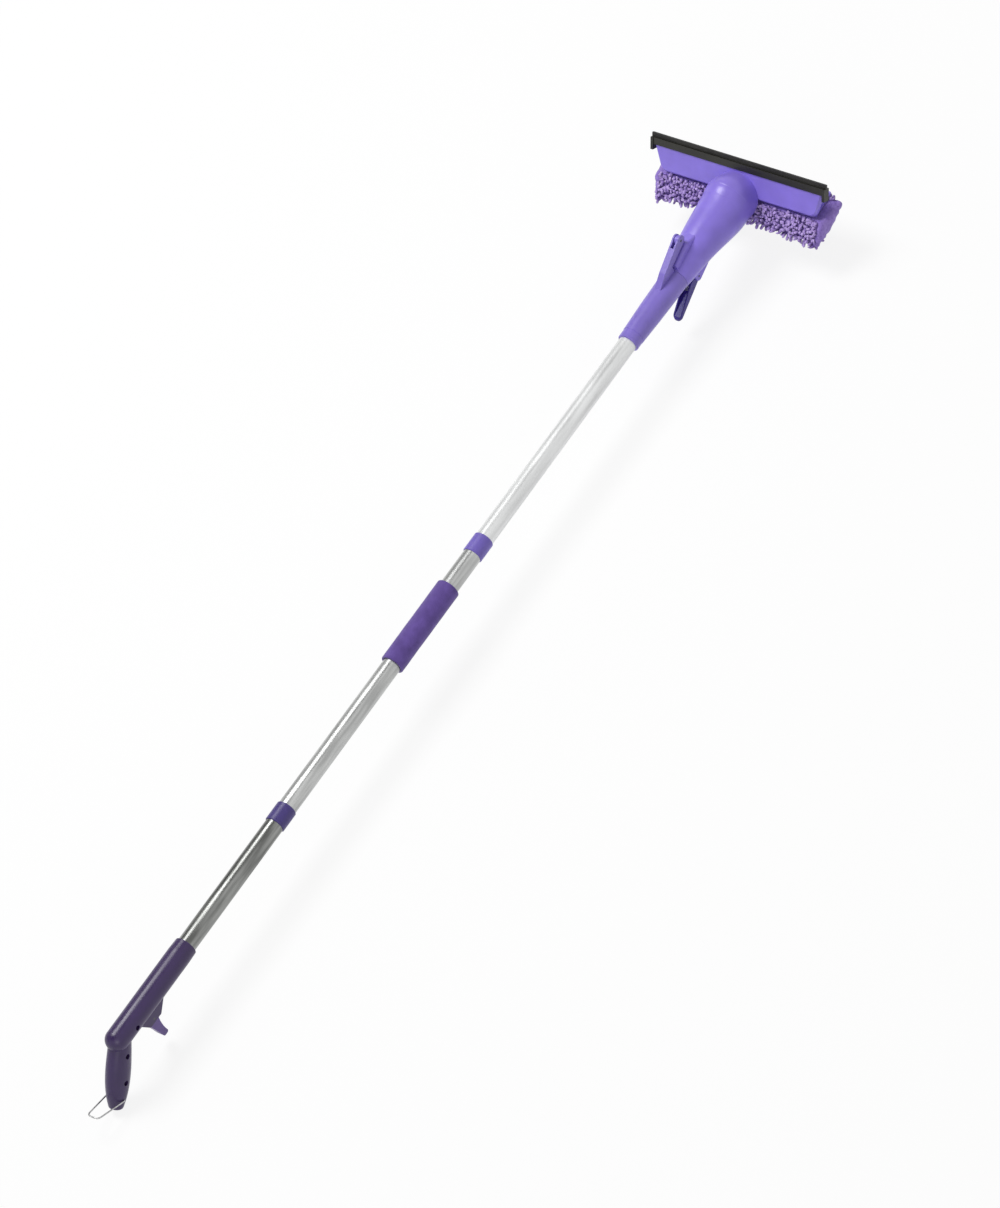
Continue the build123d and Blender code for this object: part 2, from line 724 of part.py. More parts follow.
latch_point = Vector(0, latch_y, -latch_drop)
lug_width = lever_width + 2 * (part_gap + latch_lug_thickness)
lug_low = latch_lug_diameter / 2
fairing_run = math.hypot(latch_fairing_reach, latch_fairing_rise)
fairing_turn = math.atan2(latch_fairing_rise, latch_fairing_reach) - math.acos(lug_low / fairing_run)
with BuildPart() as latch_lugs:
    with BuildSketch(Plane.YZ):
        with Locations((latch_y, -latch_drop)):
            Circle(lug_low)
        with BuildLine():
            Polyline((latch_y - lug_low, -latch_drop), (latch_y - latch_lug_base / 2, 0),
                     (latch_y + latch_fairing_reach, 0),
                     (latch_y + latch_fairing_reach, latch_fairing_rise - latch_drop),
                     (latch_y + lug_low * math.cos(fairing_turn),
                      lug_low * math.sin(fairing_turn) - latch_drop), close=True)
        make_face()
    extrude(amount=lug_width / 2, both=True)
    with BuildSketch(Plane.XY.offset(-latch_drop - latch_lug_diameter)):
        with Locations((0, latch_y)):
            Rectangle(lever_width + 2 * part_gap, latch_lug_base + overrun)
    extrude(amount=2 * latch_drop, mode=Mode.SUBTRACT)
    add(along_z([(0, latch_y - latch_spring_back)], spring_seat_diameter, -spring_seat_drop, 0))

head_screw_points = []
for place, half in zip(head_screw_places, head_screw_half_spacings):
    head_screw_points += [(-half, neck_start + place), (half, neck_start + place)]
recess_top = -head_screw_depth

with BuildPart() as neck_bosses:
    add(along_z(head_screw_points, head_screw_boss_diameter, -dome_diameter, dome_diameter))
    add(neck_body(fit_gap, 0), mode=Mode.INTERSECT)

with BuildPart() as neck_hollow:
    add(neck_body(neck_wall, overrun))
    add(pad_body(pad_room + neck_wall, pad_length / 2), mode=Mode.SUBTRACT)

with BuildPart() as neck:
    add(neck_body(0, 0))
    add(saddle.part)
    add(latch_lugs.part)
    add(neck_hollow.part, mode=Mode.SUBTRACT)
    add(neck_bosses.part)
    add(along_z(head_screw_points, screw_shank_diameter + 2 * fit_gap, -dome_diameter,
                recess_top + head_screw_length + overrun / 2), mode=Mode.SUBTRACT)
    add(along_z(head_screw_points, screw_recess_diameter, -dome_diameter, recess_top), mode=Mode.SUBTRACT)
    add(along_x([hinge_point], hinge_pin_diameter + 2 * fit_gap, -saddle_width, saddle_width),
        mode=Mode.SUBTRACT)
    add(along_x([latch_point], latch_pin_diameter + 2 * fit_gap, -saddle_width, saddle_width),
        mode=Mode.SUBTRACT)
    with BuildSketch(Plane.XY.offset(-latch_drop - latch_lug_diameter)):
        with Locations((0, latch_y + nose_slot_forward)):
            Rectangle(nose_width + 2 * part_gap, nose_slot_length)
    extrude(amount=latch_drop + latch_lug_diameter - tongue_drop, mode=Mode.SUBTRACT)

# Blade plate, moulded with the upper shell
with BuildPart() as plate:
    with BuildSketch(blade_plane) as plate_face:
        with BuildLine():
            Polyline((-plate_top_width / 2, -plate_top_drop), (-plate_bottom_width / 2, -plate_bottom_drop),
                     (plate_bottom_width / 2, -plate_bottom_drop), (plate_top_width / 2, -plate_top_drop),
                     close=True)
        make_face()
        fillet(plate_face.vertices().group_by(Axis.Y)[0], plate_corner)
    extrude(amount=-plate_thickness)
    bevel_edges = plate.faces().sort_by(Axis(blade_middle, plate_out))[-1].edges().sort_by(Axis.Z)[:-1]
    chamfer(bevel_edges, plate_bevel)

with BuildPart() as upper_shell:
    add(neck.part)
    split(bisect_by=Plane.XY, keep=Keep.TOP)
    add(plate.part)
with BuildPart() as lower_shell:
    add(neck.part)
    split(bisect_by=Plane.XY, keep=Keep.BOTTOM)
    split(bisect_by=blade_plane.offset(part_gap), keep=Keep.TOP)
    add(pad_body(pad_room, pad_length / 2), mode=Mode.SUBTRACT)

with BuildPart() as head_screws:
    add(along_z(head_screw_points, screw_shank_diameter, recess_top, recess_top + head_screw_length))
    add(along_z(head_screw_points, screw_head_diameter, recess_top - screw_head_height, recess_top))
pieces["head_screws"] = head_screws.part


# Squeegee: channel on the plate's top edge, rubber in the channel, and a cap on each end
def plate_prism(points, start, end):
    """A solid along the blade from start to end, from (up the plate, out of its face) points."""
    with BuildPart() as piece:
        with BuildSketch(blade_side.offset(start)):
            with BuildLine():
                Polyline(*points, close=True)
            make_face()
        extrude(amount=end - start)
    return piece.part


def band(low, high, back, front):
    """The corners of a rectangle on the plate's side plane."""
    return [(low, back), (low, front), (high, front), (high, back)]


plate_middle = -plate_thickness / 2
rubber_half = rubber_thickness / 2
root_half = rubber_root_thickness / 2
root_high = -rubber_root_drop + rubber_root_height
with BuildPart() as channel:
    add(plate_prism(band(-channel_bottom_drop, -channel_top_drop, -plate_thickness - channel_lip,
                         channel_lip), -channel_length / 2, channel_length / 2))
    for low, high, half in ((-channel_bottom_drop - overrun, -plate_top_drop + fit_gap,
                             plate_thickness / 2 + fit_gap),
                            (-rubber_root_drop - fit_gap, root_high + fit_gap, root_half + fit_gap),
                            (-rubber_root_drop, overrun, rubber_half + fit_gap)):
        add(plate_prism(band(low, high, plate_middle - half, plate_middle + half),
                        -channel_length / 2 - overrun, channel_length / 2 + overrun), mode=Mode.SUBTRACT)
pieces["rubber_channel"] = channel.part

with BuildPart() as rubber:
    add(plate_prism(band(-rubber_root_drop, root_high, plate_middle - root_half, plate_middle + root_half),
                    -channel_length / 2, channel_length / 2))
    add(plate_prism(band(-rubber_root_drop, 0, plate_middle - rubber_half, plate_middle + rubber_half),
                    -channel_length / 2, channel_length / 2))
    add(plate_prism(band(part_gap - channel_top_drop, 0, plate_middle - rubber_half,
                         plate_middle + rubber_half), -rubber_length / 2, rubber_length / 2))
pieces["squeegee_rubber"] = rubber.part

cap_profile = band(-cap_bottom_drop, -channel_top_drop, -plate_thickness - channel_lip - cap_lip,
                   channel_lip + cap_lip)
pieces["channel_cap_right"] = plate_prism(cap_profile, channel_length / 2, channel_length / 2 + cap_width)
pieces["channel_cap_left"] = plate_prism(cap_profile, -channel_length / 2 - cap_width, -channel_length / 2)

# Pad frame behind the plate: a flange on the plate's back, a board over the sponge, and ribs between them
board_run = Vector(*pad_back_top) - Vector(*pad_inner_top)
board_lift = Vector(-board_run.Y, board_run.X).normalized()
board_low = [(Vector(*point) + board_lift * soft_gap) for point in (pad_inner_top, pad_back_top)]
board_high = [point + board_lift * frame_thickness for point in board_low]
board_end = (board_low[1] + board_high[1]) / 2
flange_back = -plate_thickness - frame_thickness
with BuildPart() as pad_frame:
    add(plate_prism([(point.X, point.Y) for point in board_low + board_high[::-1]], -frame_width / 2,
                    frame_width / 2))
    add(plate_prism(band(board_high[0].X, -frame_flange_top_drop, flange_back, -plate_thickness),
                    -frame_width / 2, frame_width / 2))
    for inset in frame_rib_insets:
        for middle in (inset - frame_width / 2, frame_width / 2 - inset):
            add(plate_prism([(board_high[0].X, -plate_thickness), (-frame_flange_top_drop, flange_back),
                             (board_end.X, board_end.Y)],
                            middle - frame_rib_thickness / 2, middle + frame_rib_thickness / 2))
    split(bisect_by=blade_plane.offset(-plate_thickness), keep=Keep.BOTTOM)


def along_plate_normal(diameter, back, front):
    """The frame screws' cylinders, square to the plate from back to front."""
    with BuildPart() as piece:
        with BuildSketch(blade_plane.offset(back)):
            with Locations(*[(side * (frame_width / 2 - inset), -frame_screw_drop)
                             for inset in frame_screw_insets for side in (-1, 1)]):
                Circle(diameter / 2)
        extrude(amount=front - back)
    return piece.part


bite_front = -plate_thickness + frame_screw_bite
screw_hole = along_plate_normal(frame_screw_shank_diameter + 2 * fit_gap, flange_back - overrun,
                                bite_front + fit_gap)
pieces["pad_frame"] = pad_frame.part - screw_hole
pieces["head_upper_shell"] = upper_shell.part - screw_hole
pieces["head_lower_shell"] = lower_shell.part
with BuildPart() as frame_screws:
    add(along_plate_normal(frame_screw_shank_diameter, flange_back, bite_front))
    add(along_plate_normal(frame_screw_head_diameter, flange_back - frame_screw_head_height, flange_back))
pieces["frame_screws"] = frame_screws.part

# Scrub pad: a sponge wedge in a chenille cover, whose back cloth is thinner than its pile
cloth_lift = board_lift * (pad_pile - pad_cloth)
raised_front, raised_back, raised_inner = [(point[0] + cloth_lift.X, point[1] + cloth_lift.Y)
                                           for point in (pad_front_top, pad_back_top, pad_inner_top)]


def core_prism(inset, half_length):
    """The sponge's wedge, as long as twice half_length, drawn in from the cover's corners by inset."""
    with BuildPart() as piece:
        with BuildSketch(blade_side.offset(-half_length - overrun)):
            with BuildLine():
                Polyline(raised_front, pad_front_low, pad_scrub_low, pad_back_low, raised_back, raised_inner,
                         close=True)
            make_face()
            offset(amount=-inset, kind=Kind.INTERSECTION)
        extrude(amount=2 * (half_length + overrun))
        split(bisect_by=end_cut(1, half_length), keep=Keep.BOTTOM)
        split(bisect_by=end_cut(-1, half_length), keep=Keep.BOTTOM)
    return piece.part


with BuildPart() as cover:
    add(pad_body(0, pad_length / 2))
    ends = cover.faces().sort_by(Axis.X)
    fillet(ends[0].edges() + ends[-1].edges(), pad_end_round)
    add(core_prism(pad_pile - soft_gap, pad_length / 2 - pad_end_pile + soft_gap), mode=Mode.SUBTRACT)
pieces["scrub_cover"] = cover.part
pieces["sponge_core"] = core_prism(pad_pile, pad_length / 2 - pad_end_pile)


# Latch lever, with a hollow finger blade and a nose under the tongue
def from_latch(forward, up):
    """A side-view point measured from the latch pin."""
    return (latch_y + forward, up - latch_drop)


boss = lever_boss_diameter / 2
lever_slope = (lever_fall - boss) / (lever_length + boss / 2)
floor_rise = lever_skin * math.hypot(1, lever_slope) - boss
floor_reach = lever_length - lever_skin
floor_start = from_latch(-boss, floor_rise - lever_slope * (boss + boss / 2))
floor_end = from_latch(-floor_reach, floor_rise - lever_slope * (floor_reach + boss / 2))
with BuildPart() as lever_hollow:
    add(side_block([floor_start, floor_end, (floor_end[0], 0), (floor_start[0], 0)],
                   lever_width - 2 * lever_rim))
    add(along_z([(0, latch_y - latch_spring_back)], spring_seat_diameter, floor_end[1], -lever_seat_level),
        mode=Mode.SUBTRACT)
with BuildPart() as lever:
    with BuildSketch(Plane.YZ):
        with Locations(from_latch(0, 0)):
            Circle(boss)
        with BuildLine():
            Polyline(from_latch(boss / 2, -boss), from_latch(-lever_length, -lever_fall),
                     from_latch(-lever_length, lever_skin - lever_fall), from_latch(-lever_rim_back, 0),
                     from_latch(0, boss), close=True)
        make_face()
    extrude(amount=lever_width / 2, both=True)
    fillet(lever.edges().filter_by(Axis.Z).sort_by(Axis.Y)[:2], lever_tip_round)
    add(lever_hollow.part, mode=Mode.SUBTRACT)
    add(side_block([from_latch(nose_back, 0), from_latch(nose_back, nose_height),
                    from_latch(nose_front, nose_height), from_latch(nose_front, nose_height / 2),
                    from_latch(boss / 2, 0)], nose_width))
    add(along_x([latch_point], latch_pin_diameter + 2 * fit_gap, -lever_width, lever_width),
        mode=Mode.SUBTRACT)
pieces["latch_lever"] = lever.part
pieces["latch_pin"] = along_x([latch_point], latch_pin_diameter, -lug_width / 2, lug_width / 2)

latch_spring_foot = fit_gap + latch_spring_wire / 2 - lever_seat_level
latch_spring_height = lever_seat_level - spring_seat_drop - latch_spring_wire - 2 * fit_gap
pieces["latch_spring"] = coil(latch_spring_diameter / 2, latch_spring_wire, latch_spring_height,
                              latch_spring_turns, (0, latch_y - latch_spring_back, latch_spring_foot))

# The model's origin goes under the middle of the whole tool
whole = Compound(list(pieces.values())).bounding_box()
shift = Location((-whole.center().X, -whole.center().Y, -whole.min.Z))
print("origin shift", shift.position)
print("overall", whole.size)

os.makedirs("parts", exist_ok=True)
for name, piece in pieces.items():
    placed = piece.moved(shift)
    placed.label = name
    export_step(placed, "parts/" + name + ".step")
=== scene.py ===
# %% [markdown]
# # A window scrubber on a pole
# The tool has a pistol handle, a pole of three metal tubes, and a head that folds. A rubber squeegee runs
# along the top of the head, and a chenille pad sits behind it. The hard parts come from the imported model,
# and this lesson gives them their finishes. The two soft parts, the foam grip and the scrub pad, are made
# here, because foam and pile can't be drawn well as plain solids.

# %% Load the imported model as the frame
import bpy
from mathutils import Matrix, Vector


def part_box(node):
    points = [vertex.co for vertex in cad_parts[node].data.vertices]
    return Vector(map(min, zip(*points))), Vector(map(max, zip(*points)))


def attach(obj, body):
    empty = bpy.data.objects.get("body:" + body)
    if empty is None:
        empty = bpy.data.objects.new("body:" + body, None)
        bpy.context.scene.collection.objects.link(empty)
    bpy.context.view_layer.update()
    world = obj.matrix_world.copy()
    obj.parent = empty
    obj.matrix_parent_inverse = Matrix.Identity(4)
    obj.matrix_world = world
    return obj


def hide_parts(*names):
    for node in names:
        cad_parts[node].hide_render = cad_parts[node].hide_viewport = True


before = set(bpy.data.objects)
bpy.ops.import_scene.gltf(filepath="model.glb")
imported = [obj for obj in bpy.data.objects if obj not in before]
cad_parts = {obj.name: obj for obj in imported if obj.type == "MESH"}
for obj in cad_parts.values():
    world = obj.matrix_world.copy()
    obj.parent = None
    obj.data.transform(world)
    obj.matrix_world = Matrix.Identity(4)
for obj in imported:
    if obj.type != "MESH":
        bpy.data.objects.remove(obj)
print("loaded", len(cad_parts), "hard parts")

# %% Open Blender's own tools
import math

import bpy
import numpy as np
from mathutils import Vector
from mathutils.bvhtree import BVHTree

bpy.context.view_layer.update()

# %% [markdown]
# ## The camera
# The photograph was taken from far away with a long lens, because the tube's two edges stay nearly
# parallel from the handle to the head. The camera stands off the middle of the upper tube, above the tool
# and to the right of it, and its three turns lay the pole from the lower left to the upper right.

# %% Put the camera where the photographer stood
def middle_of(node):
    """The middle of a node's box at rest."""
    low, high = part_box(node)
    return (low + high) / 2


sensor_width = 36
lens_length = 223.5
sight_limit = 100
camera_away = Vector((4.7164, -3.5194, 6.1776))
camera_turns = (39.482, 17.561, 34.672)

camera_data = bpy.data.cameras.new("camera")
camera_data.sensor_width = sensor_width
camera_data.lens = lens_length
camera_data.clip_end = sight_limit
camera = bpy.data.objects.new("camera", camera_data)
camera.location = middle_of("upper_tube") + camera_away
camera.rotation_euler = [math.radians(turn) for turn in camera_turns]
bpy.context.scene.collection.objects.link(camera)
bpy.context.scene.camera = camera
bpy.context.scene.view_settings.view_transform = "Standard"
print("camera is", round(camera.location.length, 2), "m from the origin")

# %% [markdown]
# ## Floor, world and lamps
# The background of the photograph is plain white. The floor and the world are pale by their own colour
# as the camera and reflections see them, while the light that falls on the tool stays at a plain level.
# The floor is a large disc, added with an operator and pushed just under the tool's lowest point.

# %% Helpers for node materials
def set_shader(finish, settings):
    """Sets the surface shader's own sockets by their names."""
    sockets = finish.node_tree.nodes["Principled BSDF"].inputs
    for name, value in settings.items():
        sockets[name].default_value = value


def new_finish(name, base, metallic=0.0, roughness=0.4):
    """A material with one surface shader."""
    finish = bpy.data.materials.new(name)
    finish.use_nodes = True
    set_shader(finish, {"Base Color": (*base, 1), "Metallic": metallic, "Roughness": roughness})
    return finish


def any_ray(tree, *kinds):
    """1 for a light ray of any of these kinds, and 0 for the others."""
    path = tree.nodes.new("ShaderNodeLightPath")
    found = path.outputs[kinds[0]]
    for kind in kinds[1:]:
        larger = tree.nodes.new("ShaderNodeMath")
        larger.operation = "MAXIMUM"
        tree.links.new(found, larger.inputs[0])
        tree.links.new(path.outputs[kind], larger.inputs[1])
        found = larger.outputs[0]
    return found


def mix_shaders(tree, share, first, second, end):
    """Sends the first shader to the end socket where share is 0, and the second where it is 1."""
    blend = tree.nodes.new("ShaderNodeMixShader")
    tree.links.new(share, blend.inputs[0])
    tree.links.new(first.outputs[0], blend.inputs[1])
    tree.links.new(second.outputs[0], blend.inputs[2])
    tree.links.new(blend.outputs[0], end)


# %% The floor
white_strength = 1.0
floor_grey = (0.86, 0.86, 0.86)
floor_glow = 0.86
floor_drop = 0.0015
floor_radius = 14
floor_sides = 96
bpy.ops.object.select_all(action="DESELECT")
bpy.ops.mesh.primitive_circle_add(vertices=floor_sides, radius=floor_radius, fill_type="NGON",
                                  location=(0, 0, -floor_drop))
floor = bpy.context.object
floor.name = "floor"

floor_finish = new_finish("pale_floor", floor_grey, roughness=0.9)
tree = floor_finish.node_tree
seen_share = tree.nodes.new("ShaderNodeMath")
seen_share.operation = "MULTIPLY"
seen_share.inputs[1].default_value = floor_glow
tree.links.new(any_ray(tree, "Is Camera Ray", "Is Glossy Ray"), seen_share.inputs[0])
glow = tree.nodes.new("ShaderNodeEmission")
glow.inputs["Strength"].default_value = white_strength
mix_shaders(tree, seen_share.outputs[0], tree.nodes["Principled BSDF"], glow,
            tree.nodes["Material Output"].inputs["Surface"])
floor.data.materials.append(floor_finish)

# %% The world
ambient_strength = 0.34
world = bpy.data.worlds.new("studio")
bpy.context.scene.world = world
world.use_nodes = True
tree = world.node_tree
ambient = tree.nodes["Background"]
bright = tree.nodes.new("ShaderNodeBackground")
for background, strength in ((ambient, ambient_strength), (bright, white_strength)):
    background.inputs["Color"].default_value = (1, 1, 1, 1)
    background.inputs["Strength"].default_value = strength
seen = any_ray(tree, "Is Camera Ray", "Is Glossy Ray", "Is Transmission Ray")
mix_shaders(tree, seen, ambient, bright, tree.nodes["World Output"].inputs["Surface"])
print("world lights the tool at", ambient_strength, "and is seen at", white_strength)

# %% [markdown]
# The neck of the head is lightest on its upper left side in the photograph and darkest on its lower
# right. So the main lamp is a large soft panel overhead on the left, as a studio box would be, and a
# weaker one stands low, below the camera, to keep the dark sides readable.

# %% Two soft lamps
def soft_lamp(name, place, aim, size, power):
    """A square lamp that faces aim."""
    data = bpy.data.lights.new(name, "AREA")
    data.shape = "SQUARE"
    data.size = size
    data.energy = power
    lamp = bpy.data.objects.new(name, data)
    lamp.location = place
    lamp.rotation_euler = (Vector(aim) - Vector(place)).to_track_quat("-Z", "Y").to_euler()
    bpy.context.scene.collection.objects.link(lamp)


soft_lamp("main_lamp", place=(-1.7, 0.3, 4.3), aim=(0, 0.2, 0), size=2.0, power=165)
soft_lamp("fill_lamp", place=(3.2, -3.6, 2.4), aim=(0, 0, 0), size=2.0, power=40)
print("two lamps set")

# %% [markdown]
# With white on every side, bare metal would look flat. Photographers stand cards beside the subject, out of
# the picture, and their reflections show that a tube is round. A dark card overhead draws the dark streak
# down the tubes, and a pale grey one on the left tones down their left edge. Both are seen by reflections
# only, so they take no light away.

# %% The cards that the tubes reflect
card_length = 12


def reflected_card(name, place, width, tilt, grey):
    """A long card beside the tool, leaning by tilt degrees, that only reflections see."""
    bpy.ops.object.select_all(action="DESELECT")
    bpy.ops.mesh.primitive_plane_add(size=1, location=place)
    card = bpy.context.object
    card.name = name
    card.scale = (width, card_length, 1)
    card.rotation_euler = (0, math.radians(tilt), 0)
    card.visible_camera = False
    card.visible_diffuse = False
    card.visible_shadow = False
    card.visible_transmission = False
    card.data.materials.append(new_finish(name, (grey, grey, grey), roughness=1.0))


reflected_card("dark_card", place=(-0.9, -1.6, 7.0), width=5.2, tilt=-8, grey=0.08)
reflected_card("pale_card", place=(-5.6, -1.0, 3.9), width=6.5, tilt=-55, grey=0.8)
print("two cards set")

# %% [markdown]
# ## Finishes
# Each finish is a small tree of nodes. Patterns are read from Object coordinates, which are metres in the
# tool's own frame, so a grain has its real size on every part. A cloudy noise moves the colour and the
# gloss a little, and a much finer one gives the bump. Most of a noise lies between 0.3 and 0.7, so the
# colour and the gloss change over that range.

# %% Helpers that make patterns
noise_low = 0.3
noise_high = 0.7


def place_on_part(finish, stretch=(1, 1, 1)):
    """Object coordinates, where a small stretch draws a pattern out along that axis."""
    tree = finish.node_tree
    place = tree.nodes.new("ShaderNodeTexCoord")
    turn = tree.nodes.new("ShaderNodeMapping")
    turn.inputs["Scale"].default_value = stretch
    tree.links.new(place.outputs["Object"], turn.inputs["Vector"])
    return turn.outputs["Vector"]


def noise(finish, size, stretch=(1, 1, 1), detail=3.0):
    """A cloudy pattern whose blobs are about size metres across."""
    tree = finish.node_tree
    cloud = tree.nodes.new("ShaderNodeTexNoise")
    cloud.inputs["Scale"].default_value = 1 / size
    cloud.inputs["Detail"].default_value = detail
    tree.links.new(place_on_part(finish, stretch), cloud.inputs["Vector"])
    return cloud.outputs[0]


def cells(finish, size):
    """A pattern of rounded cells about size metres across, as in foam or cloth."""
    tree = finish.node_tree
    pattern = tree.nodes.new("ShaderNodeTexVoronoi")
    pattern.inputs["Scale"].default_value = 1 / size
    tree.links.new(place_on_part(finish), pattern.inputs["Vector"])
    return pattern.outputs["Distance"]


# %% Helpers that put a pattern on a finish
def colour_ramp(finish, pattern, dark, light, start=noise_low, end=noise_high):
    """A colour that runs from dark to light as the pattern goes from start to end."""
    tree = finish.node_tree
    ramp = tree.nodes.new("ShaderNodeValToRGB")
    for stop, position, colour in zip(ramp.color_ramp.elements, (start, end), (dark, light)):
        stop.position = position
        stop.color = (*colour, 1)
    tree.links.new(pattern, ramp.inputs["Fac"])
    return ramp.outputs["Color"]


def set_colour(finish, colour):
    """Gives the finish the colour that comes from another node."""
    tree = finish.node_tree
    tree.links.new(colour, tree.nodes["Principled BSDF"].inputs["Base Color"])


def tint(finish, pattern, dark, light, **limits):
    """Colours the finish from dark to light by the pattern."""
    set_colour(finish, colour_ramp(finish, pattern, dark, light, **limits))


def gloss(finish, pattern, smooth, rough):
    """Roughness that runs from smooth to rough over the pattern's middle."""
    tree = finish.node_tree
    spread = tree.nodes.new("ShaderNodeMapRange")
    spread.inputs["From Min"].default_value = noise_low
    spread.inputs["From Max"].default_value = noise_high
    spread.inputs["To Min"].default_value = smooth
    spread.inputs["To Max"].default_value = rough
    tree.links.new(pattern, spread.inputs["Value"])
    tree.links.new(spread.outputs["Result"], tree.nodes["Principled BSDF"].inputs["Roughness"])


def bump(finish, pattern, height, strength, under=None):
    """Relief of that height in metres, on top of another relief if one is given."""
    tree = finish.node_tree
    relief = tree.nodes.new("ShaderNodeBump")
    relief.inputs["Strength"].default_value = strength
    relief.inputs["Distance"].default_value = height
    tree.links.new(pattern, relief.inputs["Height"])
    if under:
        tree.links.new(under.outputs["Normal"], relief.inputs["Normal"])
    tree.links.new(relief.outputs["Normal"], tree.nodes["Principled BSDF"].inputs["Normal"])
    return relief


def paint(red, green, blue):
    """A colour as read on a screen, from 0 to 255, turned into the light that a shader mixes. The
    numbers are those of the curve that screens share."""
    return tuple((v / 255 / 12.92) if v < 10 else ((v / 255 + 0.055) / 1.055) ** 2.4
                 for v in (red, green, blue))


def shades(colour, spread):
    """The colour made darker and lighter by that share."""
    return tuple(v * (1 - spread) for v in colour), tuple(v * (1 + spread) for v in colour)


# %% [markdown]
# ### Moulded plastic
# All the purple parts are injection moulded. The plastic has a soft gloss, a very fine grain from the mould,
# slow waves where it shrank as it cooled, and short rub marks along the tool. The head is a light violet and
# the upper collar a little deeper. The lower collar is made darker still as painted shade. The handle is the
# darkest, partly from its own deeper plastic and partly as painted shade. The trigger is made lighter than
# the handle as painted light, and the latch lever is made dark as painted shade.

# %% The purple plastics
def moulded(name, colour, smooth, rough):
    """A moulded plastic whose gloss runs from smooth to rough."""
    finish = new_finish(name, colour)
    dark, light = shades(colour, spread=0.07)
    clouds = noise(finish, size=0.022)
    handling = noise(finish, size=0.009, stretch=(1, 0.25, 1))
    shrinking = noise(finish, size=0.03, detail=1.0)
    rubbing = noise(finish, size=0.0011, stretch=(1, 0.06, 1))
    mould_grain = noise(finish, size=0.0005)
    tint(finish, clouds, dark, light)
    gloss(finish, handling, smooth, rough)
    waves = bump(finish, shrinking, height=0.0004, strength=0.35)
    rubs = bump(finish, rubbing, height=0.00002, strength=0.5, under=waves)
    bump(finish, mould_grain, height=0.000015, strength=0.6, under=rubs)
    set_shader(finish, {"Specular IOR Level": 0.5, "Subsurface Weight": 0.08,
                        "Subsurface Radius": (0.6, 0.5, 1.0), "Subsurface Scale": 0.002})
    return finish


head_plastic = moulded("violet_head_plastic", paint(136, 117, 216), smooth=0.28, rough=0.40)
connector_plastic = moulded("violet_connector_plastic", paint(128, 111, 198), smooth=0.28, rough=0.40)
# The lower collar's darker colour is painted shade.
lower_collar_plastic = moulded("painted_shade_collar_plastic", paint(62, 48, 116), smooth=0.34, rough=0.46)
upper_collar_plastic = moulded("collar_plastic", paint(108, 92, 178), smooth=0.34, rough=0.46)
# The handle's dark colour is partly its own deeper plastic and partly painted shade.
handle_plastic = moulded("dark_handle_plastic", paint(50, 30, 80), smooth=0.28, rough=0.40)
# The trigger's colour, lighter than the handle's, is painted light.
lit_trigger_plastic = moulded("lit_trigger_plastic", paint(92, 70, 136), smooth=0.30, rough=0.42)
# The lever's dark colour is painted shade.
lever_plastic = moulded("shaded_lever_plastic", paint(56, 40, 132), smooth=0.34, rough=0.46)
inner_plastic = moulded("grey_inner_plastic", paint(92, 90, 96), smooth=0.40, rough=0.55)
print("eight plastics made")

# %% [markdown]
# ### Drawn aluminium
# The three tubes are thin drawn aluminium. Drawing leaves fine lines along the tube, so the noise is fine
# across it and drawn out along it. Slow patches of duller metal come from handling. The tubes are one metal,
# but the lowest is given the darkest colour as painted shade, and the top one is almost white as painted
# light. So the upper two are made less metallic, which mixes in some of their plain pale colour as painted
# light.

# %% The tube metal, from painted shade to painted light
def drawn_metal(name, dark, light, smooth, rough, metallic):
    """Metal with lines along the tube, whose gloss runs from smooth to rough."""
    finish = new_finish(name, light, metallic)
    streaks = noise(finish, size=0.006, stretch=(1, 0.08, 1), detail=5.0)
    handling = noise(finish, size=0.014, stretch=(1, 0.2, 1))
    drawing = noise(finish, size=0.0008, stretch=(1, 0.01, 1))
    dents = noise(finish, size=0.004, stretch=(1, 0.15, 1))
    tint(finish, streaks, dark, light, start=0.35, end=0.65)
    gloss(finish, handling, smooth, rough)
    lines = bump(finish, drawing, height=0.00002, strength=0.6)
    bump(finish, dents, height=0.00005, strength=0.25, under=lines)
    return finish


# The lowest tube's darker colour is painted shade, and the paler, less metallic upper two carry painted
# light.
lower_metal = drawn_metal("painted_shade_tube_metal", paint(98, 99, 97), paint(148, 149, 147),
                          smooth=0.24, rough=0.38, metallic=1.0)
middle_metal = drawn_metal("tube_metal", paint(164, 165, 164), paint(200, 201, 200),
                           smooth=0.26, rough=0.38, metallic=0.8)
upper_metal = drawn_metal("painted_light_tube_metal", paint(214, 215, 215), paint(234, 235, 235),
                          smooth=0.28, rough=0.38, metallic=0.45)
print("three tube metals made")

# %% [markdown]
# ### Steel, black plastic and rubber
# Screws, the rivet and the springs are zinc plated and a little cloudy, the pins are darker, and the
# hanging wire is smoother. The squeegee sits in a black extruded channel that shows faint lines along its
# length. The rubber itself is matt, with a dusting of grey where it has been wiped.

# %% The small metals
def cloudy_steel(name, base, dark, light, cloud_size, wear_size, smooth, rough, grain_size, strength):
    """Small steel parts, coloured from dark to light, with a very fine grain."""
    finish = new_finish(name, base, metallic=1.0)
    tint(finish, noise(finish, size=cloud_size), dark, light)
    gloss(finish, noise(finish, size=wear_size), smooth, rough)
    bump(finish, noise(finish, size=grain_size), height=0.00002, strength=strength)
    return finish


